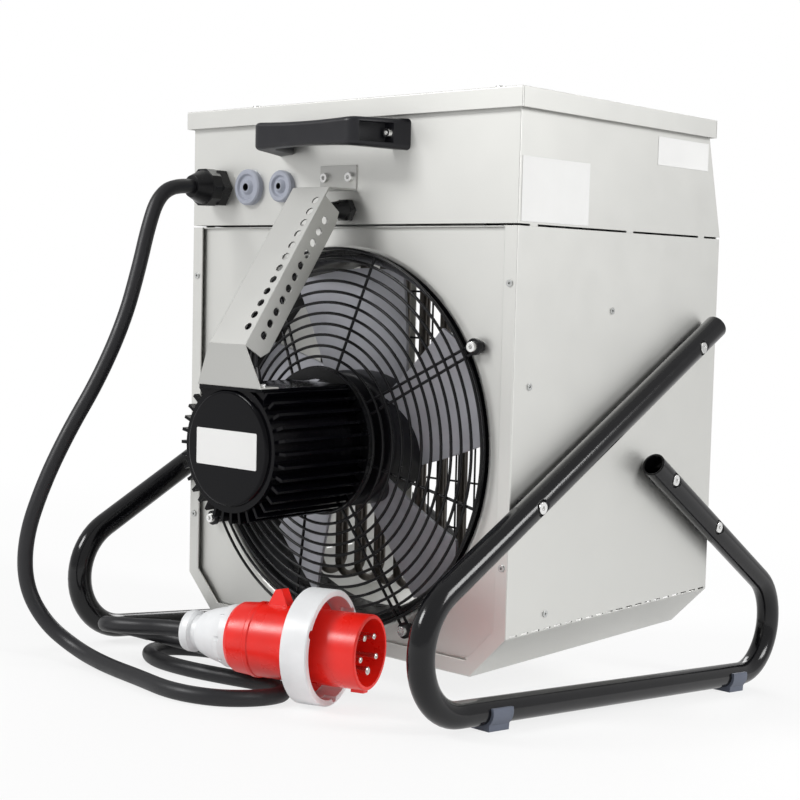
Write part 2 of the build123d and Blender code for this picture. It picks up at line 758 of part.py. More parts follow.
def cord_line(points):
    """Straight runs joined by arcs that are as large as the runs allow."""
    corners = [Vector(*point) for point in points]
    radii = []
    for before, here, after in zip(corners, corners[1:], corners[2:]):
        turn = radians((here - before).get_angle(after - here))
        run = min((here - before).length, (after - here).length)
        radii.append(0.45 * run / tan(turn / 2))
    print("arc radii", [round(radius) for radius in radii])
    return FilletPolyline(*points, radius=radii)


MOTOR_CABLE_R = 3.5
BOX_ENTRY = (0, -116)
BOX_GLAND_TOP = BOX_TOP + 18
BOX_HALF = 43
BLANK_PLUG = (-128, 258)
MOTOR_CABLE_ROUTE = [
    (CABLE_EXIT[0], -SMALL_GLAND_LENGTH, CABLE_EXIT[1]),
    (10, -46, 445),
    (9, -64, 408),
    (6, -88, 374),
    (3, -108, 342),
    (BOX_ENTRY[0], BOX_ENTRY[1], 314),
    (BOX_ENTRY[0], BOX_ENTRY[1], BOX_GLAND_TOP),
]

with BuildPart() as motor_cable:
    with BuildLine():
        motor_route = cord_line(MOTOR_CABLE_ROUTE)
    with BuildSketch(Plane(origin=motor_route @ 0, z_dir=motor_route % 0)):
        Circle(MOTOR_CABLE_R)
    sweep(path=motor_route)
keep("motor_cable", motor_cable)

with BuildPart() as motor_cable_glands:
    with BuildSketch(across(0)):
        with Locations(CABLE_EXIT):
            RegularPolygon(12, 6)
    extrude(amount=7)
    with BuildSketch(across(-7)):
        with Locations(CABLE_EXIT):
            Circle(10.5)
    extrude(amount=SMALL_GLAND_LENGTH - 7, taper=12)
    shanks(SMALL_GLAND_NECK, 8, [CABLE_EXIT], across(0))
    with BuildSketch(Plane.XY.offset(BOX_TOP)):
        with Locations(BOX_ENTRY):
            RegularPolygon(9, 6)
    extrude(amount=6)
    with BuildSketch(Plane.XY.offset(BOX_TOP + 6)):
        with Locations(BOX_ENTRY):
            Circle(8)
    extrude(amount=12, taper=12)
    with BuildSketch(side_plane(-BOX_HALF)):
        with Locations(BLANK_PLUG):
            RegularPolygon(8, 6)
    extrude(amount=-6)
    with BuildSketch(side_plane(-BOX_HALF - 6)):
        with Locations(BLANK_PLUG):
            Circle(6.5)
    extrude(amount=-4, taper=15)
keep("motor_cable_glands", motor_cable_glands)

# Motor

MOTOR_NOSE = -10
FIN_END = -30
HOUSING_BACK = -143
BOX_LID = 3
MOTOR_BORE = 52
BEARING_R = 20
BEARING_WIDTH = 8
ROTOR_R = 30
STACK = (-115, -45)


def fan_disc(radius, y_low, y_high, mode=Mode.ADD):
    """A disc on the fan's axis between two depths."""
    with BuildSketch(across(y_low)) as disc:
        with Locations((0, FAN_Z)):
            Circle(radius)
    extrude(disc.sketch, amount=y_low - y_high, mode=mode)


with BuildPart() as motor_housing:
    fan_disc(MOTOR_CORE, HOUSING_BACK, MOTOR_NOSE)
    with BuildSketch(across(HOUSING_BACK)):
        with Locations((0, FAN_Z)):
            with PolarLocations((MOTOR_CORE + FIN_TIP) / 2 - 0.5, 360 // FIN_PITCH):
                Rectangle(FIN_TIP - MOTOR_CORE + 1, 3)
    extrude(amount=HOUSING_BACK - FIN_END)
    with Locations((0, -80, BOX_TOP - BOX_LID - 10)):
        Box(2 * BOX_HALF, 126, 20)
    fan_disc(MOTOR_BORE, HOUSING_BACK, MOTOR_NOSE - BEARING_WIDTH, mode=Mode.SUBTRACT)
    fan_disc(BEARING_R, HOUSING_BACK, MOTOR_NOSE, mode=Mode.SUBTRACT)
    with Locations((0, -80, BOX_TOP - BOX_LID + 20)):
        Box(200, 200, 40, mode=Mode.SUBTRACT)
    with BuildSketch(side_plane(-BOX_HALF)):
        with Locations(BLANK_PLUG):
            Circle(9)
    extrude(amount=-FIN_TIP, mode=Mode.SUBTRACT)
keep("motor_housing", motor_housing)

with BuildPart() as terminal_cover:
    with Locations((0, (MOTOR_BACK - 21) / 2, BOX_TOP - BOX_LID / 2)):
        Box(2 * BOX_HALF, -21 - MOTOR_BACK, BOX_LID)
    fillet(terminal_cover.edges().filter_by(Axis.Z), radius=5)
    with BuildSketch(Plane.XY.offset(BOX_TOP)):
        with Locations(*DUCT_FOOT_SCREWS):
            Circle(2)
    extrude(amount=-2.5, mode=Mode.SUBTRACT)
keep("terminal_cover", terminal_cover)

with BuildPart() as motor_end_cap:
    fan_disc(MOTOR_CORE, -146, HOUSING_BACK)
    fan_disc(56, MOTOR_BACK, -146)
    fan_disc(MOTOR_BORE, HOUSING_BACK, HOUSING_BACK + 9)
    fillet(motor_end_cap.edges().sort_by(Axis.Y)[0], radius=3.5)
    fan_disc(BEARING_R, HOUSING_BACK + 1, HOUSING_BACK + 9, mode=Mode.SUBTRACT)
    with Locations((0, -80, BOX_TOP - BOX_LID + 20)):
        Box(200, 200, 40, mode=Mode.SUBTRACT)
keep("motor_end_cap", motor_end_cap)

with BuildPart() as motor_label:
    with BuildSketch(across(MOTOR_BACK)):
        with Locations((0, FAN_Z)):
            RectangleRounded(84, 35, 1.5)
    extrude(amount=0.4)
keep("motor_label", motor_label)

with BuildPart() as motor_bearings:
    for bearing_y in (HOUSING_BACK + 1, MOTOR_NOSE - BEARING_WIDTH):
        fan_disc(BEARING_R, bearing_y, bearing_y + BEARING_WIDTH)
    fan_disc(SHAFT_R + RUNNING, HOUSING_BACK, MOTOR_NOSE, mode=Mode.SUBTRACT)
keep("motor_bearings", motor_bearings)

with BuildPart() as motor_stator:
    fan_disc(MOTOR_BORE, STACK[0], STACK[1])
    fan_disc(MOTOR_BORE - 3, STACK[0] - 12, STACK[1] + 12)
    fan_disc(ROTOR_R + 0.5, STACK[0] - 12, STACK[1] + 12, mode=Mode.SUBTRACT)
keep("motor_stator", motor_stator)

with BuildPart() as motor_rotor:
    fan_disc(ROTOR_R, STACK[0], STACK[1])
    fan_disc(SHAFT_R, STACK[0], STACK[1], mode=Mode.SUBTRACT)
keep("motor_rotor", motor_rotor)

HUB_FRONT = 10
HUB_BACK = 62
SHAFT_BACK = HOUSING_BACK + 3

with BuildPart() as motor_shaft:
    fan_disc(SHAFT_R, SHAFT_BACK, 50)
keep("motor_shaft", motor_shaft)

# Impeller

with BuildPart() as fan_hub:
    fan_disc(HUB_R, HUB_FRONT, HUB_BACK)
    fillet(fan_hub.edges().sort_by(Axis.Y)[0], radius=6)
    fan_disc(HUB_R - 4, HUB_FRONT + 5, HUB_BACK, mode=Mode.SUBTRACT)
    fan_disc(18, HUB_FRONT, 48)
    fan_disc(SHAFT_R, HUB_FRONT, HUB_BACK, mode=Mode.SUBTRACT)
keep("fan_hub", fan_hub)

BLADE_START = 12
BLADE_THICKNESS = 3.5
BLADE_SECTIONS = [(60, -38, 34, 16, 60), (120, -32, 68, 15, 58), (182, -22, 112, 14, 54)]


def blade_section(angle, distance, near, far, front, back):
    """A cambered section on a plane square to the blade's direction."""
    turn = radians(angle)
    outward = (cos(turn), 0, sin(turn))
    origin = (distance * cos(turn), 0, FAN_Z + distance * sin(turn))
    plane = Plane(origin=origin, x_dir=(-sin(turn), 0, cos(turn)), z_dir=outward)
    camber = 0.07 * (far - near)
    middle = ((near + far) / 2, -(front + back) / 2)
    with BuildSketch(plane) as section:
        with BuildLine():
            low = ((near, -back), (middle[0], middle[1] - camber), (far, -front))
            high = [(x, y + BLADE_THICKNESS) for x, y in low]
            ThreePointArc(*low)
            Line(low[2], high[2])
            ThreePointArc(high[2], high[1], high[0])
            Line(high[0], low[0])
        make_face()
    return section.sketch


with BuildPart() as fan_blades:
    for blade in range(BLADES):
        blade_angle = BLADE_START + blade * 360 / BLADES
        loft([blade_section(blade_angle, *section) for section in BLADE_SECTIONS])
    fan_disc(BLADE_TIP, 0, 80, mode=Mode.INTERSECT)
    fan_disc(HUB_R, 0, 80, mode=Mode.SUBTRACT)
keep("fan_blades", fan_blades)

# Fan guard

WIRE_R = 1.5
GUARD_RINGS = 12
GUARD_OUTER = 194
GUARD_INNER = 74
GUARD_FRONT = -24
GUARD_RIM_Y = -5
EYELET_Y = -5.5
EYELET_R = 8


def guard_y(radius):
    """Depth of the dished guard at a radius."""
    share = (radius - GUARD_INNER) / (GUARD_OUTER - GUARD_INNER)
    return GUARD_FRONT + share * (GUARD_RIM_Y - GUARD_FRONT)


def guard_wire(start, end):
    """A straight wire between two points."""
    reach = Vector(*end) - Vector(*start)
    with BuildSketch(Plane(origin=start, z_dir=reach)) as section:
        Circle(WIRE_R)
    extrude(section.sketch, amount=reach.length)


def guard_point(radius, angle, aside):
    """Point just behind the guard's rings, at a radius, an angle and a distance aside."""
    x, z = around_fan(radius, angle)
    x -= aside * sin(radians(angle))
    z += aside * cos(radians(angle))
    return (x, guard_y(radius) + 2 * WIRE_R - 0.5, z)


with BuildPart() as fan_guard:
    ring_step = (GUARD_OUTER - GUARD_INNER) / (GUARD_RINGS - 1)
    with BuildSketch(side_plane(0)):
        for ring in range(GUARD_RINGS):
            ring_r = GUARD_INNER + ring * ring_step
            with Locations((guard_y(ring_r), FAN_Z + ring_r)):
                Circle(WIRE_R)
    revolve(axis=Axis((0, 0, FAN_Z), (0, 1, 0)))
    for guard_angle in GUARD_ANGLES:
        for aside in (-1, 1):
            guard_wire(guard_point(69, guard_angle, 6 * aside), guard_point(207, guard_angle, 4 * aside))
        guard_wire(guard_point(73, guard_angle + 45, 0), guard_point(195, guard_angle + 45, 0))
    with BuildSketch(across(FIN_END)):
        with Locations((0, FAN_Z)):
            Circle(GUARD_INNER)
            Circle(MOTOR_CORE + 0.3, mode=Mode.SUBTRACT)
    extrude(amount=-8)
    eyelets = [around_fan(STANDOFF_R, angle) for angle in GUARD_ANGLES]
    with BuildSketch(across(EYELET_Y)):
        with Locations(*eyelets):
            Circle(EYELET_R)
    extrude(amount=-4)
    with BuildSketch(across(EYELET_Y)):
        with Locations(*eyelets):
            Circle(6)
    extrude(amount=EYELET_Y - PLATE_Y)
    with BuildSketch(across(EYELET_Y)):
        with Locations(*eyelets):
            Circle(2.1)
    extrude(amount=-20, mode=Mode.SUBTRACT)
    with Locations((0, (FIN_END - 1 - 16) / 2, BOX_TOP - 12)):
        Box(2 * BOX_HALF + 1, -16 - FIN_END + 1, 25, mode=Mode.SUBTRACT)
keep("fan_guard", fan_guard)

with BuildPart() as guard_screws:
    pan_head(5.5, 4.5, eyelets, across(EYELET_Y))
    shanks(2, 20, eyelets, across(EYELET_Y))
keep("guard_screws", guard_screws)

# Heating elements and what carries them

with BuildPart() as heating_elements:
    for element_x in ELEMENT_X:
        with BuildLine():
            element_front, element_back = ELEMENT_ROWS
            bend = (element_back - element_front) / 2
            bend_top = ELEMENT_LOW + bend
            front_leg = Line((element_x, element_front, ELEMENT_TOP), (element_x, element_front, bend_top))
            hairpin = ThreePointArc(
                front_leg @ 1,
                (element_x, element_front + bend, ELEMENT_LOW),
                (element_x, element_back, bend_top),
            )
            Line(hairpin @ 1, (element_x, element_back, ELEMENT_TOP))
        with BuildSketch(Plane(origin=front_leg @ 0, z_dir=front_leg % 0)):
            Circle(ELEMENT_R)
        sweep()
keep("heating_elements", heating_elements)

with BuildPart() as element_bushes:
    with BuildSketch(Plane.XY.offset(SEAM)):
        with Locations(*LEGS):
            RegularPolygon(BUSH_R, 6)
            Circle(ELEMENT_R, mode=Mode.SUBTRACT)
    extrude(amount=4)
    with BuildSketch(Plane.XY.offset(ELEMENT_TOP)):
        with Locations(*LEGS):
            Circle(2)
    extrude(amount=10)
keep("element_bushes", element_bushes)

SUPPORT_Z = 232

with BuildPart() as element_support:
    with Locations((0, sum(ELEMENT_ROWS) / 2, SUPPORT_Z)):
        Box(WIDTH - 2 * SHEET, 62, SHEET)
    with BuildSketch(Plane.XY.offset(SUPPORT_Z)):
        with Locations(*LEGS):
            Circle(ELEMENT_R)
        with Locations((0, sum(ELEMENT_ROWS) / 2)):
            with GridLocations(ELEMENT_PITCH, 1, ELEMENTS - 1, 1):
                Rectangle(12, 40)
    extrude(amount=SHEET, both=True, mode=Mode.SUBTRACT)
keep("element_support", element_support)

GRILLE_R = 1.3
GRILLE_PITCH = 15
GRILLE_LOW = 6
GRILLE_HIGH = SEAM - 6
GRILLE_BARS = 27
GRILLE_RAILS = 8
GRILLE_SIDE = WIDTH / 2 - SHEET - 1
GRILLE_GAP = 0.05
RAIL_LOW = GRILLE_LOW + GRILLE_R
RAIL_HIGH = GRILLE_HIGH - GRILLE_R
BAR_Y = DEPTH - SHEET - GRILLE_R - GRILLE_GAP
RAIL_Y = BAR_Y - 2 * GRILLE_R - GRILLE_GAP

with BuildPart() as outlet_guard:
    for bar in range(GRILLE_BARS):
        bar_x = GRILLE_PITCH * (bar - (GRILLE_BARS - 1) / 2)
        bar_low = max(GRILLE_LOW, abs(bar_x) - WIDTH / 2 + CHAMFER_Z + 2)
        with BuildSketch(Plane.XY.offset(bar_low)):
            with Locations((bar_x, BAR_Y)):
                Circle(GRILLE_R)
        extrude(amount=GRILLE_HIGH - bar_low)
    for rail in range(GRILLE_RAILS):
        rail_z = RAIL_LOW + rail * (RAIL_HIGH - RAIL_LOW) / (GRILLE_RAILS - 1)
        rail_reach = min(GRILLE_SIDE, WIDTH / 2 - CHAMFER_Z - 4 + rail_z)
        with BuildSketch(side_plane(-rail_reach)):
            with Locations((RAIL_Y, rail_z)):
                Circle(GRILLE_R)
        extrude(amount=2 * rail_reach)
keep("outlet_guard", outlet_guard)

# Electrics in the upper section

with BuildPart() as terminal_block:
    with Locations((-140, 60, SEAM + 12)):
        Box(84, 30, 24)
    with Locations((-140, 60, SEAM + 24)):
        with GridLocations(16, 1, 5, 1):
            Box(2, 30, 12)
    with BuildSketch(Plane.XY.offset(SEAM + 24)):
        with Locations((-140, 60)):
            with GridLocations(16, 16, 4, 2):
                Circle(3)
    extrude(amount=-8, mode=Mode.SUBTRACT)
keep("terminal_block", terminal_block)

with BuildPart() as mounting_rail:
    with Locations((30, 75, SEAM + 3.5)):
        Box(220, 35, 7)
    with Locations((30, 75, SEAM + 2.75)):
        Box(222, 25, 5.5, mode=Mode.SUBTRACT)
keep("mounting_rail", mounting_rail)

with BuildPart() as contactors:
    for contactor_x in (-30, 30, 90):
        with Locations((contactor_x, 75, SEAM + 7 + 22)):
            Box(45, 76, 44)
        with Locations((contactor_x, 75, SEAM + 7 + 58)):
            Box(45, 48, 28)
        with BuildSketch(Plane.XY.offset(SEAM + 51)):
            with Locations((contactor_x, 75)):
                with GridLocations(13, 64, 3, 2):
                    Circle(3.5)
        extrude(amount=-6, mode=Mode.SUBTRACT)
keep("contactors", contactors)

# Labels, bare

RATING_THICKNESS = 0.4

with BuildPart() as rating_labels:
    with BuildSketch(side_plane(WIDTH / 2)):
        with Locations((58, 463)):
            Rectangle(108, 60)
        with Locations((283, 515)):
            Rectangle(100, 29)
    extrude(amount=RATING_THICKNESS)
keep("rating_labels", rating_labels)

# Stand

DIMPLE_FLOOR = 8.5
DIMPLE_R = 9
FILLER_R = 11.5
TUBE_GAP = LOOP_X - TUBE_R - WIDTH / 2


def tube_route():
    """Centre line of the right tube, from its top end down, along the floor and up to its rear end."""
    plane = side_plane(LOOP_X)
    with BuildLine(plane) as route:
        Line(front_arm(FRONT_ARM), front_arm(0))
        CenterArc((FRONT_BEND_Y, FLOOR_RUN + FRONT_BEND), FRONT_BEND, 90 + FRONT_RISE, 180 - FRONT_RISE)
        Line((FRONT_BEND_Y, FLOOR_RUN), (REAR_BEND_Y, FLOOR_RUN))
        CenterArc((REAR_BEND_Y, FLOOR_RUN + REAR_BEND), REAR_BEND, -90, 180 - REAR_RISE)
        Line(rear_arm(0), rear_arm(REAR_ARM))
    return route.line


with BuildPart() as tube_bore:
    bore_route = tube_route()
    with BuildSketch(Plane(origin=bore_route @ 0, z_dir=bore_route % 0)):
        Circle(TUBE_BORE)
    sweep(path=bore_route)
    with BuildSketch(side_plane(LOOP_X + DIMPLE_FLOOR - 2)):
        with Locations(*TUBE_SCREWS):
            Circle(FILLER_R)
    extrude(amount=TUBE_R, mode=Mode.SUBTRACT)

with BuildPart() as stand_right:
    outer_route = tube_route()
    with BuildSketch(Plane(origin=outer_route @ 0, z_dir=outer_route % 0)):
        Circle(TUBE_R)
    sweep(path=outer_route)
    add(tube_bore.part, mode=Mode.SUBTRACT)
    with BuildSketch(side_plane(LOOP_X + DIMPLE_FLOOR)):
        with Locations(*TUBE_SCREWS):
            Circle(DIMPLE_R - 2)
    extrude(amount=TUBE_R, taper=-30, mode=Mode.SUBTRACT)
    with BuildSketch(side_plane(LOOP_X)):
        with Locations(*TUBE_SCREWS):
            Circle(STAND_SCREW_R)
    extrude(amount=TUBE_R, both=True, mode=Mode.SUBTRACT)
keep("stand_right", stand_right, FLOOR)

with BuildPart() as stand_left:
    mirror(stand_right.part, about=Plane.YZ)
keep("stand_left", stand_left, FLOOR)

with BuildPart() as stand_screws:
    dimple_plane = side_plane(LOOP_X + DIMPLE_FLOOR)
    pan_head(6.2, 3.6, TUBE_SCREWS, dimple_plane)
    shanks(STAND_SCREW_R, DIMPLE_FLOOR + TUBE_R + TUBE_GAP + 12, TUBE_SCREWS, dimple_plane)
    mirror(stand_screws.part, about=Plane.YZ)
keep("stand_screws", stand_screws, FLOOR)

with BuildPart() as stand_spacers:
    with BuildSketch(side_plane(WIDTH / 2)):
        with Locations(*TUBE_SCREWS):
            Circle(7)
            Circle(STAND_SCREW_R, mode=Mode.SUBTRACT)
    extrude(amount=TUBE_GAP)
    mirror(stand_spacers.part, about=Plane.YZ)
keep("stand_spacers", stand_spacers, FLOOR)

FOOT_WIDTH = 30
FOOT_Y = (-38, 400)
FOOT_R = 15.5

with BuildPart() as stand_feet:
    for foot_x in (-LOOP_X, LOOP_X):
        for foot_y in FOOT_Y:
            with BuildSketch(Plane.XZ.offset(-foot_y + FOOT_WIDTH / 2)):
                with Locations((foot_x, FLOOR_RUN)):
                    Circle(FOOT_R)
                with Locations((foot_x, FLOOR_RUN / 2)):
                    Rectangle(2 * FOOT_R - 8, FLOOR_RUN)
                with Locations((foot_x, FLOOR_RUN + FOOT_R + 5)):
                    Rectangle(3 * FOOT_R, 2 * FOOT_R, mode=Mode.SUBTRACT)
                with Locations((foot_x, FLOOR_RUN)):
                    Circle(TUBE_R, mode=Mode.SUBTRACT)
            extrude(amount=-FOOT_WIDTH)
keep("stand_feet", stand_feet, FLOOR)

# Plug, laid on the floor

PLUG_ORIGIN = Vector(*PLUG_CENTRE)
PLUG_SIDE = Vector(PLUG_AXIS.Y, -PLUG_AXIS.X, 0).normalized()
PLUG_PROFILE = Plane(origin=PLUG_ORIGIN, x_dir=PLUG_AXIS, z_dir=PLUG_SIDE)
PLUG_TURN = Axis(PLUG_CENTRE, tuple(PLUG_AXIS))
COLLAR_OUTER = 54
COLLAR_INNER = 48
COLLAR_START = -15
COLLAR_END = 12
COLLAR_SEAT = 36
PLUG_GLAND_END = -145
BODY_R = 36
BODY_START = -88
SHROUD_OUTER = 34.8
SHROUD_INNER = 31
SHROUD_END = 51
PIN_CIRCLE = 17
PIN_R = 3
EARTH_R = 4
PIN_TOP = 50
PIN_BASE = 2


def plug_at(s):
    """Plane square to the plug's axis, with sketch Y up."""
    return Plane(origin=PLUG_ORIGIN + PLUG_AXIS * s, x_dir=-PLUG_SIDE, z_dir=PLUG_AXIS)


with BuildPart() as plug_gland_nut:
    with BuildSketch(PLUG_PROFILE):
        Polygon(
            (PLUG_GLAND_END, 0),
            (PLUG_GLAND_END, 19),
            (PLUG_GLAND_END + 3, 20),
            (-136, 20),
            (-134, 16.5),
            (-129, 16.5),
            (-126, 20),
            (-116, 24),
            (-102, 27.5),
            (-96, 30),
            (BODY_START, 30),
            (BODY_START, 0),
            align=None,
        )
    revolve(axis=PLUG_TURN)
    with BuildSketch(plug_at(-114)):
        with PolarLocations(30.5, 8):
            Rectangle(5, 4)
    extrude(amount=20, mode=Mode.SUBTRACT)
keep("plug_gland_nut", plug_gland_nut, FLOOR)

with BuildPart() as plug_body:
    with BuildSketch(PLUG_PROFILE):
        Polygon(
            (BODY_START, 0),
            (BODY_START, 31),
            (-84, 33.5),
            (-66, BODY_R - 1),
            (-65, BODY_R),
            (-61, BODY_R),
            (-60, BODY_R - 1),
            (-22, BODY_R - 0.5),
            (COLLAR_START - 0.3, BODY_R - 0.5),
            (COLLAR_START - 0.3, 0),
            align=None,
        )
    revolve(axis=PLUG_TURN)
    latch_plane = Plane(origin=PLUG_ORIGIN - PLUG_SIDE * 7, x_dir=PLUG_AXIS, z_dir=PLUG_SIDE)
    with BuildSketch(latch_plane):
        Polygon((-56, BODY_R - 3), (-48, BODY_R + 13), (-42, BODY_R + 14), (-34, BODY_R - 3), align=None)
    extrude(amount=14)
keep("plug_body", plug_body, FLOOR)

with BuildPart() as plug_insert:
    with BuildSketch(PLUG_PROFILE):
        Polygon(
            (COLLAR_START - 0.3, 0),
            (COLLAR_START - 0.3, COLLAR_SEAT),
            (-11.5, COLLAR_SEAT),
            (-11.5, 45),
            (-8.5, 45),
            (-8.5, SHROUD_OUTER),
            (SHROUD_END - 1, SHROUD_OUTER),
            (SHROUD_END, SHROUD_OUTER - 1),
            (SHROUD_END, SHROUD_INNER),
            (PIN_BASE, SHROUD_INNER),
            (PIN_BASE, 0),
            align=None,
        )
    revolve(axis=PLUG_TURN)
    with BuildSketch(plug_at(SHROUD_END - 16)):
        with Locations((0, 2 - SHROUD_OUTER)):
            Rectangle(9, 9)
        Circle(SHROUD_INNER, mode=Mode.SUBTRACT)
    extrude(amount=13)
keep("plug_insert", plug_insert, FLOOR)

with BuildPart() as plug_pins:
    with BuildSketch(plug_at(PIN_BASE)):
        for pin_angle in (-18, 54, 126, 198):
            with Locations((PIN_CIRCLE * cos(radians(pin_angle)), PIN_CIRCLE * sin(radians(pin_angle)))):
                Circle(PIN_R)
        with Locations((0, -PIN_CIRCLE)):
            Circle(EARTH_R)
    extrude(amount=PIN_TOP - PIN_BASE)
    fillet(plug_pins.edges().filter_by(GeomType.CIRCLE).sort_by(PLUG_TURN)[-5:], radius=1.5)
keep("plug_pins", plug_pins, FLOOR)

with BuildPart() as plug_collar:
    with BuildSketch(PLUG_PROFILE):
        Polygon(
            (COLLAR_START, COLLAR_SEAT + RUNNING),
            (COLLAR_START, COLLAR_OUTER - 1),
            (COLLAR_START + 1, COLLAR_OUTER),
            (COLLAR_END - 1, COLLAR_OUTER),
            (COLLAR_END, COLLAR_OUTER - 1),
            (COLLAR_END, COLLAR_INNER),
            (COLLAR_START + 3, COLLAR_INNER),
            (COLLAR_START + 3, COLLAR_SEAT + RUNNING),
            align=None,
        )
    revolve(axis=PLUG_TURN)
    with BuildSketch(plug_at(COLLAR_END)):
        for notch_angle in (40, 160, 280):
            notch_x = COLLAR_INNER * cos(radians(notch_angle))
            notch_y = COLLAR_INNER * sin(radians(notch_angle))
            with Locations((notch_x, notch_y)):
                Circle(4)
    extrude(amount=-12, mode=Mode.SUBTRACT)
keep("plug_collar", plug_collar, FLOOR)

# Mains cord, from the casing's gland to the plug's, laid on the floor between

CORD_Z = CORD_R
CORD_ROUTE = [
    (-183, -89.01, 497.24),
    (-183, -112.88, 494.73),
    (-183, -133, 478),
    (-183, -142, 446),
    (-182, -150, 402),
    (-180, -164, 346),
    (-183, -187, 284),
    (-192, -213, 226),
    (-199, -232, 172),
    (-205, -243, 118),
    (-205, -238, 70),
    (-188, -222, 34),
    (-152, -207, 13),
    (-98, -213, CORD_Z),
    (-35, -222, CORD_Z),
    (22, -233, CORD_Z),
    (62, -218, CORD_Z),
    (80, -186, CORD_Z),
    (81, -151, CORD_Z),
    (67, -130, CORD_Z),
    (34, -122, CORD_Z),
    (-4, -136, CORD_Z),
    (-54, -149, CORD_Z),
    (-106, -147, CORD_Z),
    (-146, -121, CORD_Z),
    (-152, -82, CORD_Z),
    (-122, -53, CORD_Z),
    (-74, -40, CORD_Z),
    (-23, -37, CORD_Z),
    (10, -36, CORD_Z + 1),
    (33, -57, CORD_Z + 3),
    (33, -87, CORD_Z + 7),
    (9, -108, CORD_Z + 12),
    (-27, -108, CORD_Z + 14.5),
    (-72, -110, CORD_Z + 16),
    (-117, -119, CORD_Z + 18),
    (-143, -135, CORD_Z + 22),
    (-152, -161, CORD_Z + 27),
    (-141, -186, CORD_Z + 32),
    (-115, -196, CORD_Z + 36),
    (-88, -186, 45.8),
    (-64, -169.2, 47.8),
    tuple(PLUG_ORIGIN + PLUG_AXIS * PLUG_GLAND_END),
]

with BuildPart() as mains_cord:
    with BuildLine():
        cord_route = cord_line(CORD_ROUTE)
    with BuildSketch(Plane(origin=cord_route @ 0, z_dir=cord_route % 0)):
        Circle(CORD_R)
    sweep(path=cord_route)
print("cord length", round(cord_route.length), "volume", round(mains_cord.part.volume))
print("section times length", round(pi * CORD_R**2 * cord_route.length))
keep("mains_cord", mains_cord, FLOOR)
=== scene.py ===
"""Looks of the forced air heater, in metres, in the frame of its CAD model."""

import json
from math import cos, radians, sin

import bpy
from mathutils import Matrix, Vector


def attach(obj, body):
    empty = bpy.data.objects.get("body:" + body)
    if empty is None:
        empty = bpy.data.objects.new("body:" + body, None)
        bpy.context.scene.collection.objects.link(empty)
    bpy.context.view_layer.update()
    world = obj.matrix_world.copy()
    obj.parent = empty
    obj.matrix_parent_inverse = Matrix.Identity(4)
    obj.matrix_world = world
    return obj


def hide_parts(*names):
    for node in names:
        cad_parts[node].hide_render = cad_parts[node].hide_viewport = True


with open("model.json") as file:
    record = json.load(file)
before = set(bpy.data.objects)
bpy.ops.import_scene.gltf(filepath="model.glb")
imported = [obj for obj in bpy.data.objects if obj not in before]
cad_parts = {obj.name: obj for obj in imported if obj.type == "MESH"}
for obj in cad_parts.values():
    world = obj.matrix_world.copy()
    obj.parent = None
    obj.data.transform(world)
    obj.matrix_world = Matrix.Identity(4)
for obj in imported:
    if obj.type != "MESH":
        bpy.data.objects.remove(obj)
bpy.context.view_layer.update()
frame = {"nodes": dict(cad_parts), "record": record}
nodes = frame["nodes"]

# The casing stands pitched up at its outlet, over a floor at height 0
MIDDLE_Y = 0.15633
LIFT = 0.033
PITCH = radians(6)
PITCHED = Matrix.Rotation(PITCH, 4, "X")
CASING = Matrix.Translation((0, -MIDDLE_Y, LIFT)) @ PITCHED
ENTRY_Z = 0.471


def on_floor(x, y, z):
    """A point of the floor frame of the CAD source, given in millimetres."""
    return Vector((x / 1000, y / 1000 - MIDDLE_Y, z / 1000))


# Camera

AZIMUTH = radians(41.40)
ELEVATION = radians(4.48)
ROLL = radians(1.37)
CAMERA_SPOT = on_floor(1078.8, -1159.1, 289.7)
LENS = 68.9
SENSOR = 36
back = Vector((sin(AZIMUTH) * cos(ELEVATION), -cos(AZIMUTH) * cos(ELEVATION), sin(ELEVATION)))
right = Vector((cos(AZIMUTH), sin(AZIMUTH), 0))
up = back.cross(right)
camera_axes = (right * cos(ROLL) + up * sin(ROLL), up * cos(ROLL) - right * sin(ROLL), back)
turn = Matrix([PITCHED.to_3x3() @ axis for axis in camera_axes]).transposed()
camera = bpy.data.objects.new("camera", bpy.data.cameras.new("camera"))
bpy.context.scene.collection.objects.link(camera)
camera.matrix_world = Matrix.Translation(CAMERA_SPOT) @ turn.to_4x4()
camera.data.lens = LENS
camera.data.sensor_width = SENSOR
bpy.context.scene.camera = camera


# Materials

EDGE = 0.0007
EDGE_SAMPLES = 4
TINT_SPAN = (0.35, 0.65)
SHEEN_SPAN = (0.3, 0.7)


def add_node(tree, kind, **values):
    """A new shader node with some of its inputs set."""
    node = tree.nodes.new(kind)
    for socket, value in values.items():
        node.inputs[socket].default_value = value
    return node


def look(name, colour, roughness, metallic=0.0, shine=0.5):
    """A new material with one shader, which rounds the light over sharp edges."""
    material = bpy.data.materials.new(name)
    material.use_nodes = True
    shader = material.node_tree.nodes["Principled BSDF"]
    shader.inputs["Base Color"].default_value = (*colour, 1)
    shader.inputs["Roughness"].default_value = roughness
    shader.inputs["Metallic"].default_value = metallic
    shader.inputs["Specular IOR Level"].default_value = shine
    edge = add_node(material.node_tree, "ShaderNodeBevel", Radius=EDGE)
    edge.samples = EDGE_SAMPLES
    material.node_tree.links.new(edge.outputs["Normal"], shader.inputs["Normal"])
    return material


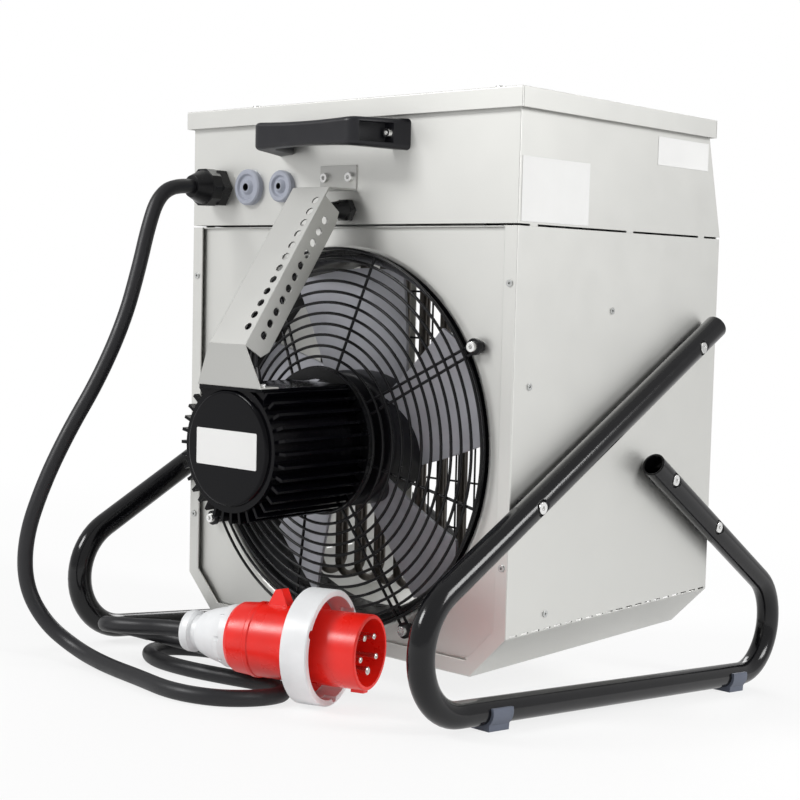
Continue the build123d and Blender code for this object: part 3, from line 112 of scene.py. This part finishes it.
def noise(material, size, detail, stretch=(1, 1, 1)):
    """Noise with features of a size in metres, drawn out along the axes that stretch names."""
    tree = material.node_tree
    coords = add_node(tree, "ShaderNodeTexCoord")
    mapping = add_node(tree, "ShaderNodeMapping", Scale=[1 / (size * span) for span in stretch])
    texture = add_node(tree, "ShaderNodeTexNoise", Scale=1.0, Detail=detail)
    tree.links.new(coords.outputs["Object"], mapping.inputs["Vector"])
    tree.links.new(mapping.outputs["Vector"], texture.inputs["Vector"])
    return texture.outputs["Fac"]


def tint(material, factor, dark, light):
    """Varies the colour between two shades of it."""
    tree = material.node_tree
    ramp = add_node(tree, "ShaderNodeValToRGB")
    for stop, position, colour in zip(ramp.color_ramp.elements, TINT_SPAN, (dark, light)):
        stop.position = position
        stop.color = (*colour, 1)
    tree.links.new(factor, ramp.inputs["Fac"])
    tree.links.new(ramp.outputs["Color"], tree.nodes["Principled BSDF"].inputs["Base Color"])


def map_range(tree, factor, start, end, low, high=1.0):
    """Maps a factor's span from start to end onto the span from low to high."""
    spread = add_node(tree, "ShaderNodeMapRange")
    for socket, value in (("From Min", start), ("From Max", end), ("To Min", low), ("To Max", high)):
        spread.inputs[socket].default_value = value
    tree.links.new(factor, spread.inputs["Value"])
    return spread


def sheen_range(material, factor, low, high):
    """Varies the roughness between two values."""
    tree = material.node_tree
    spread = map_range(tree, factor, *SHEEN_SPAN, low, high)
    tree.links.new(spread.outputs["Result"], tree.nodes["Principled BSDF"].inputs["Roughness"])


def relief(material, factor, depth, strength=1.0):
    """Adds a bump of a depth in metres over what the material already has."""
    tree = material.node_tree
    normal = tree.nodes["Principled BSDF"].inputs["Normal"]
    bump = add_node(tree, "ShaderNodeBump", Distance=depth, Strength=strength)
    tree.links.new(normal.links[0].from_socket, bump.inputs["Normal"])
    tree.links.new(factor, bump.inputs["Height"])
    tree.links.new(bump.outputs["Normal"], normal)


def shade(colour, by):
    """A colour made lighter or darker."""
    return tuple(min(1.0, part * by) for part in colour)


def plain(
    name, colour, roughness, metallic=0.0, shine=0.5, grain=0.0006, depth=0.00003, spread=0.06, shift=0.08
):
    """A coated, moulded or bare surface with slight shifts of colour and gloss and a fine grain."""
    material = look(name, colour, roughness, metallic, shine)
    tint(material, noise(material, 0.05, 4), shade(colour, 1 - shift), shade(colour, 1 + shift))
    sheen_range(material, noise(material, 0.018, 5), roughness - spread, roughness + spread)
    relief(material, noise(material, grain, 2), depth)
    return material


STEEL = (0.71, 0.71, 0.685)


def steel(name, along, colour=STEEL, roughness=0.48):
    """Satin stainless sheet, ground along one axis, with a slight waviness."""
    material = look(name, colour, roughness, metallic=1.0)
    tint(material, noise(material, 0.16, 3), shade(colour, 0.985), shade(colour, 1.015))
    sheen_range(material, noise(material, 0.03, 6), roughness - 0.01, roughness + 0.02)
    relief(material, noise(material, 0.2, 1), 0.0003, 0.3)
    relief(material, noise(material, 0.0004, 2, along), 0.000012)
    return material


casing_steel = steel("stainless_sheet", (1, 1, 60))
lid_steel = steel("stainless_lid", (60, 1, 1))
# The duct takes a darker copy of the casing steel: painted shade
duct_steel_painted_shade = steel("stainless_duct_painted_shade", (1, 30, 30), shade(STEEL, 0.74), 0.45)
# The partition plate and element support inside the casing take a darker copy of the casing steel: painted
# shade
inner_steel_painted_shade = steel("stainless_inner_painted_shade", (60, 1, 1), shade(STEEL, 0.75), 0.42)
bright_steel = plain("bright_steel", (0.86, 0.86, 0.85), 0.2, metallic=1.0, depth=0.00001)
zinc = plain("zinc_plate", (0.6, 0.61, 0.6), 0.4, metallic=1.0)
black_paint = plain(
    "black_gloss_paint", (0.005, 0.005, 0.006), 0.14, shine=0.36, grain=0.0018, depth=0.00004, spread=0.03
)
black_wire = plain("black_wire_coat", (0.004, 0.004, 0.005), 0.3, shine=0.25, grain=0.0015)
black_cast = plain("black_cast_paint", (0.002, 0.002, 0.003), 0.16, shine=0.12, grain=0.0022, depth=0.0001)
black_plastic = plain("black_plastic", (0.009, 0.009, 0.012), 0.4, shine=0.4, grain=0.0005, depth=0.00004)
gland_plastic = plain("gland_plastic", (0.006, 0.006, 0.007), 0.3, shine=0.3, grain=0.0008)
slate_plastic = plain("slate_plastic", (0.10, 0.115, 0.155), 0.5)
blade_plastic = plain("blade_plastic", (0.52, 0.525, 0.57), 0.4, grain=0.0012)
cable_rubber = plain("cable_rubber", (0.013, 0.013, 0.015), 0.42, shine=0.4, grain=0.0012, depth=0.00008)
element_steel = plain("element_steel", (0.16, 0.145, 0.13), 0.45, metallic=1.0)
plug_red = plain("plug_red", (0.86, 0.016, 0.009), 0.3, grain=0.0007, spread=0.05)
plug_white = plain("plug_white", (0.80, 0.81, 0.82), 0.36, grain=0.0007, spread=0.05)
pin_metal = plain("pin_metal", (0.75, 0.74, 0.71), 0.25, metallic=1.0)
label_film = plain("label_film", (0.74, 0.74, 0.73), 0.4, grain=0.004, shift=0.015)
print_black = plain("printed_black", (0.012, 0.012, 0.012), 0.5)
print_white = plain("printed_white", (0.8, 0.8, 0.79), 0.5)
iron_core = plain("laminated_iron", (0.3, 0.3, 0.31), 0.45, metallic=1.0)
switch_plastic = plain("switch_plastic", (0.42, 0.42, 0.4), 0.5)

# Painted shade in the grommets' bores, as a share of the rubber's colour
BORE_SHADE = 0.02


def grommet_rubber(name, across, bore):
    """Grey rubber with painted shade inside the bore, whose axis runs along the casing's depth."""
    material = plain(name, (0.34, 0.36, 0.42), 0.5, grain=0.0009)
    tree = material.node_tree
    middle = CASING @ Vector((across, 0, ENTRY_Z))
    coords = add_node(tree, "ShaderNodeTexCoord")
    local = add_node(tree, "ShaderNodeMapping", Location=middle, Rotation=(PITCH, 0, 0))
    local.vector_type = "TEXTURE"
    flat = add_node(tree, "ShaderNodeVectorMath")
    flat.operation = "MULTIPLY"
    flat.inputs[1].default_value = (1, 0, 1)
    reach = add_node(tree, "ShaderNodeVectorMath")
    reach.operation = "LENGTH"
    tree.links.new(coords.outputs["Object"], local.inputs["Vector"])
    tree.links.new(local.outputs["Vector"], flat.inputs[0])
    tree.links.new(flat.outputs["Vector"], reach.inputs[0])
    # Painted shade: the rubber's colour drops towards BORE_SHADE inside the bore, where shade falls
    painted_bore_shade = map_range(tree, reach.outputs["Value"], bore, bore + EDGE, BORE_SHADE)
    shadow = add_node(tree, "ShaderNodeVectorMath")
    shadow.operation = "SCALE"
    base = tree.nodes["Principled BSDF"].inputs["Base Color"]
    tree.links.new(base.links[0].from_socket, shadow.inputs[0])
    tree.links.new(painted_bore_shade.outputs["Result"], shadow.inputs["Scale"])
    tree.links.new(shadow.outputs["Vector"], base)
    return material


FINISHES = {
    grommet_rubber("grommet_rubber_large", -0.133, 0.00375): "grommet_large",
    grommet_rubber("grommet_rubber_small", -0.083, 0.003): "grommet_small",
    casing_steel: "lower_casing upper_section fan_plate control_panel",
    lid_steel: "lid",
    duct_steel_painted_shade: "cable_duct",
    inner_steel_painted_shade: "partition_plate element_support",
    bright_steel: "lid_screws handle_screws duct_screws guard_screws stand_screws element_bushes",
    zinc: "casing_rivets mounting_rail motor_shaft motor_bearings",
    black_paint: "stand_left stand_right",
    black_wire: "fan_guard outlet_guard nozzle_ring",
    black_cast: "motor_housing motor_end_cap terminal_cover",
    black_plastic: "handle selector_knob thermostat_knob overheat_cutout stand_spacers fan_hub",
    gland_plastic: "cable_gland gland_nut motor_cable_glands",
    slate_plastic: "stand_feet",
    blade_plastic: "fan_blades",
    cable_rubber: "motor_cable mains_cord",
    element_steel: "heating_elements",
    plug_red: "plug_body plug_insert reset_button",
    plug_white: "plug_gland_nut plug_collar",
    pin_metal: "plug_pins",
    label_film: "motor_label rating_labels",
    iron_core: "motor_stator motor_rotor",
    switch_plastic: "selector_switch thermostat terminal_block contactors",
}
node_looks = {node: material for material, names in FINISHES.items() for node in names.split()}


def paint(piece, material):
    """Gives the whole piece one material."""
    piece.data.materials.clear()
    piece.data.materials.append(material)


for node, material in node_looks.items():
    paint(nodes[node], material)


# Pieces


def add_piece(name, data, material, body="heater", place=Matrix.Identity(4)):
    """Links a new piece, paints it, and lets it ride on a body."""
    piece = bpy.data.objects.new(name, data)
    bpy.context.scene.collection.objects.link(piece)
    piece.matrix_world = place
    paint(piece, material)
    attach(piece, body)
    return piece


# Cords


def cord_curve(name, points, radius, material, node):
    """A smooth tube that follows a route."""
    curve = bpy.data.curves.new(name, "CURVE")
    curve.dimensions = "3D"
    curve.bevel_depth = radius
    curve.bevel_resolution = 8
    curve.resolution_u = 16
    curve.use_fill_caps = True
    spline = curve.splines.new("NURBS")
    spline.points.add(len(points) - 1)
    for point, spot in zip(spline.points, points):
        point.co = (*spot, 1)
    spline.order_u = 3
    spline.use_endpoint_u = True
    piece = add_piece(name, curve, material)
    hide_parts(node)
    return piece


CORD_R = 0.00775
FLOOR_LINE = 7.75
PLUG_CENTRE = Vector((100, -121, 55))
PLUG_AXIS = Vector((0.957, 0.281, 0.042)).normalized()
PLUG_TAIL = 145
cord_route = [
    (-183, -89.01, 497.24),
    (-183, -112.88, 494.73),
    (-183, -133, 478),
    (-183, -142, 446),
    (-182, -150, 402),
    (-180, -164, 346),
    (-183, -187, 284),
    (-192, -213, 226),
    (-199, -232, 172),
    (-205, -243, 118),
    (-205, -238, 70),
    (-188, -222, 34),
    (-152, -207, 13),
    (-98, -213, FLOOR_LINE),
    (-35, -222, FLOOR_LINE),
    (22, -233, FLOOR_LINE),
    (62, -218, FLOOR_LINE),
    (80, -186, FLOOR_LINE),
    (81, -151, FLOOR_LINE),
    (67, -130, FLOOR_LINE),
    (34, -122, FLOOR_LINE),
    (-4, -136, FLOOR_LINE),
    (-54, -149, FLOOR_LINE),
    (-106, -147, FLOOR_LINE),
    (-146, -121, FLOOR_LINE),
    (-152, -82, FLOOR_LINE),
    (-122, -53, FLOOR_LINE),
    (-74, -40, FLOOR_LINE),
    (-23, -37, FLOOR_LINE),
    (10, -36, FLOOR_LINE + 1),
    (33, -57, FLOOR_LINE + 3),
    (33, -87, FLOOR_LINE + 7),
    (9, -108, FLOOR_LINE + 12),
    (-27, -108, FLOOR_LINE + 14.5),
    (-72, -110, FLOOR_LINE + 16),
    (-117, -119, FLOOR_LINE + 18),
    (-143, -135, FLOOR_LINE + 22),
    (-152, -161, FLOOR_LINE + 27),
    (-141, -186, FLOOR_LINE + 32),
    (-115, -196, FLOOR_LINE + 36),
    (-88, -186, 45.8),
    (-64, -169.2, 47.8),
    tuple(PLUG_CENTRE - PLUG_AXIS * PLUG_TAIL),
]
cord_points = [on_floor(*spot) for spot in cord_route]
mains_cord = cord_curve("mains_cord_tube", cord_points, CORD_R, cable_rubber, "mains_cord")

MOTOR_CABLE_R = 0.0035
motor_cable_route = [
    (0.010, -0.026, 0.445),
    (0.010, -0.046, 0.445),
    (0.009, -0.064, 0.408),
    (0.006, -0.088, 0.374),
    (0.003, -0.108, 0.342),
    (0, -0.116, 0.314),
    (0, -0.116, 0.290),
]
motor_points = [CASING @ Vector(spot) for spot in motor_cable_route]
motor_cable = cord_curve("motor_cable_tube", motor_points, MOTOR_CABLE_R, cable_rubber, "motor_cable")


# Scales of the knobs

joints = {joint["name"]: joint for joint in frame["record"]["behaviour"]["joints"]}
PRINT_LOW = 0.00002
PRINT_HIGH = 0.0001
TICK_START = 0.0235
NUMBER_START = 0.033
NUMBER_SIZE = 0.009
SELECTOR_STOPS = 4
THERMOSTAT_TICKS = 19
POINTER_TOP = 0.0192
BAR_SIDES = [(0, 1, 2, 3), (7, 6, 5, 4), (4, 5, 1, 0), (5, 6, 2, 1), (6, 7, 3, 2), (7, 4, 0, 3)]


def scale_plane(joint):
    """The panel's face round a knob, with Y up the panel and Z out of it."""
    out = Vector(joint["axis"])
    across = Vector((-1, 0, 0))
    axes = Matrix((across, out.cross(across), out)).transposed()
    return Matrix.Translation(Vector(joint["pos_m"])) @ axes.to_4x4()


def outward(angle):
    """The direction in a scale's plane that a knob points in at a joint angle."""
    return Vector((-sin(angle), cos(angle), 0))


def bars(name, joint, marks, material, body="heater", rise=0.0):
    """Printed bars round a knob's axis, each given by its angle, start, length and width."""
    corners = []
    sides = []
    for angle, start, length, width in marks:
        along = outward(angle)
        aside = Vector((cos(angle), sin(angle), 0)) * width / 2
        first = len(corners)
        near = along * start
        far = along * (start + length)
        for height in (rise + PRINT_LOW, rise + PRINT_HIGH):
            level = Vector((0, 0, height))
            corners += [near - aside + level, far - aside + level, far + aside + level, near + aside + level]
        sides += [[first + corner for corner in side] for side in BAR_SIDES]
    data = bpy.data.meshes.new(name)
    data.from_pydata(corners, [], sides)
    add_piece(name, data, material, body, scale_plane(joint))


def number(text, joint, angle):
    """One printed number beside a knob's stop."""
    curve = bpy.data.curves.new("number", "FONT")
    curve.body = text
    curve.size = NUMBER_SIZE
    curve.align_x = "CENTER"
    curve.align_y = "CENTER"
    curve.extrude = (PRINT_HIGH - PRINT_LOW) / 2
    data = bpy.data.meshes.new_from_object(bpy.data.objects.new("number", curve))
    spot = outward(angle) * NUMBER_START
    spot.z = (PRINT_HIGH + PRINT_LOW) / 2
    place = scale_plane(joint) @ Matrix.Translation(spot)
    add_piece(f"{joint['name']}_number_{text}", data, print_black, place=place)


def spaced(joint, count):
    """Evenly spaced angles over a joint's range, clockwise, each with its share of the way."""
    low, high = (radians(limit) for limit in joint["range_deg"])
    shares = [step / (count - 1) for step in range(count)]
    return [(high + (low - high) * share, share) for share in shares]


selector = joints["selector_turn"]
stops = [angle for angle, _ in spaced(selector, SELECTOR_STOPS)]
bars("selector_scale", selector, [(angle, TICK_START, 0.004, 0.0009) for angle in stops], print_black)
for stop, angle in enumerate(stops):
    number(str(stop), selector, angle)

thermostat = joints["thermostat_turn"]
growing = spaced(thermostat, THERMOSTAT_TICKS)
ticks = [(angle, TICK_START, 0.0015 + 0.0045 * share, 0.0011) for angle, share in growing]
bars("thermostat_scale", thermostat, ticks, print_black)

for joint in (selector, thermostat):
    line = [(0, 0.003, 0.011, 0.0014)]
    bars(f"{joint['child']}_line", joint, line, print_white, joint["child"], POINTER_TOP)


# Floor and light

FADE_START = 0.7
FADE_END = 2.6
NEAR_WHITE = 0.78
MIRRORED_WHITE = 0.6
WORLD_LIGHT = 0.55
WORLD_SEEN = 1.0


def floor_material():
    """Pale floor near the object that turns white where it meets the background."""
    material = look("pale_floor", (0.86, 0.86, 0.86), 0.6)
    tree = material.node_tree
    coords = add_node(tree, "ShaderNodeTexCoord")
    reach = add_node(tree, "ShaderNodeVectorMath")
    reach.operation = "LENGTH"
    tree.links.new(coords.outputs["Object"], reach.inputs[0])
    fade = map_range(tree, reach.outputs["Value"], FADE_START, FADE_END, NEAR_WHITE)
    fade.interpolation_type = "SMOOTHSTEP"
    rays = add_node(tree, "ShaderNodeLightPath")
    seen = add_node(tree, "ShaderNodeMath")
    seen.operation = "MULTIPLY"
    mirrored = add_node(tree, "ShaderNodeMath")
    mirrored.operation = "MULTIPLY"
    mirrored.inputs[1].default_value = MIRRORED_WHITE
    both = add_node(tree, "ShaderNodeMath")
    white = add_node(tree, "ShaderNodeEmission")
    mix = add_node(tree, "ShaderNodeMixShader")
    tree.links.new(fade.outputs["Result"], seen.inputs[0])
    tree.links.new(rays.outputs["Is Glossy Ray"], mirrored.inputs[0])
    tree.links.new(rays.outputs["Is Camera Ray"], both.inputs[0])
    tree.links.new(mirrored.outputs["Value"], both.inputs[1])
    tree.links.new(both.outputs["Value"], seen.inputs[1])
    tree.links.new(seen.outputs["Value"], mix.inputs["Fac"])
    tree.links.new(tree.nodes["Principled BSDF"].outputs["BSDF"], mix.inputs[1])
    tree.links.new(white.outputs["Emission"], mix.inputs[2])
    tree.links.new(mix.outputs["Shader"], tree.nodes["Material Output"].inputs["Surface"])
    return material


bpy.ops.mesh.primitive_circle_add(vertices=96, radius=30, fill_type="NGON")
floor = bpy.context.object
floor.name = "floor"
paint(floor, floor_material())


def lamp(name, spot, aim_height, size, power):
    """A soft rectangular lamp that shines on a spot over the floor's middle."""
    data = bpy.data.lights.new(name, "AREA")
    data.shape = "RECTANGLE"
    data.size, data.size_y = size
    data.energy = power
    piece = bpy.data.objects.new(name, data)
    bpy.context.scene.collection.objects.link(piece)
    piece.location = spot
    beam = Vector((0, 0, aim_height)) - Vector(spot)
    piece.rotation_euler = beam.to_track_quat("-Z", "Y").to_euler()


lamp("key", (-1.3, -3.0, 2.2), 0.3, (1.2, 1.0), 70)
lamp("side", (3.0, 0.9, 1.9), 0.4, (1.2, 1.2), 60)
lamp("rear", (-1.6, 2.7, 2.2), 0.3, (1.6, 1.2), 32)

world = bpy.data.worlds.new("studio")
bpy.context.scene.world = world
world.use_nodes = True
tree = world.node_tree
background = tree.nodes["Background"]
background.inputs["Color"].default_value = (1, 1, 1, 1)
rays = add_node(tree, "ShaderNodeLightPath")
strength = map_range(tree, rays.outputs["Is Camera Ray"], 0, 1, WORLD_LIGHT, WORLD_SEEN)
tree.links.new(strength.outputs["Result"], background.inputs["Strength"])
bpy.context.scene.view_settings.view_transform = "Standard"
